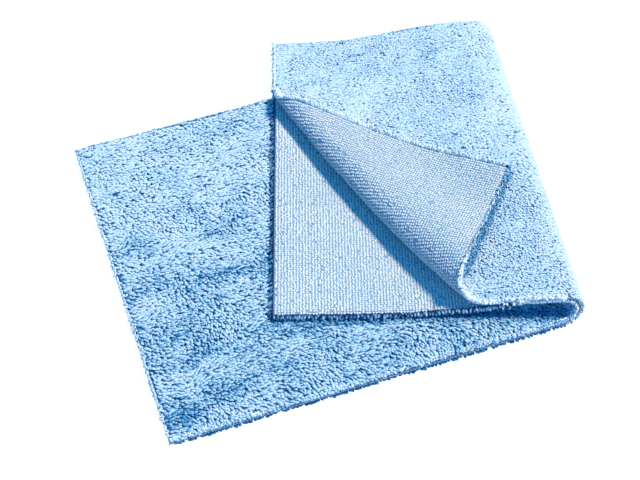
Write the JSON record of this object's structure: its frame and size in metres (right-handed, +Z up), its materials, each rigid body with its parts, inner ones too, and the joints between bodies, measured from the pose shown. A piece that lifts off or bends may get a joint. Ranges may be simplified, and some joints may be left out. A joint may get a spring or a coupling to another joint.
{
  "type": "microfibre cloth",
  "caption": "Plush blue microfibre cleaning cloth, folded in half and loosely over again at a slant, with the top layer's corner turned back.",
  "frame": {"origin": "centre of the bounding box's underside, on the surface the cloth lies on", "axes": "+X along the doubled strip towards the slanted loose fold, +Y towards the closed fold at the back, +Z up from the surface"},
  "size_m": [0.259, 0.2414, 0.035],
  "materials": {
    "plush": "pale blue knitted microfibre, plush loops on one side and short pile on the other"
  },
  "bodies": {
    "root": {"cloth": "plush"}
  },
  "joints": []
}
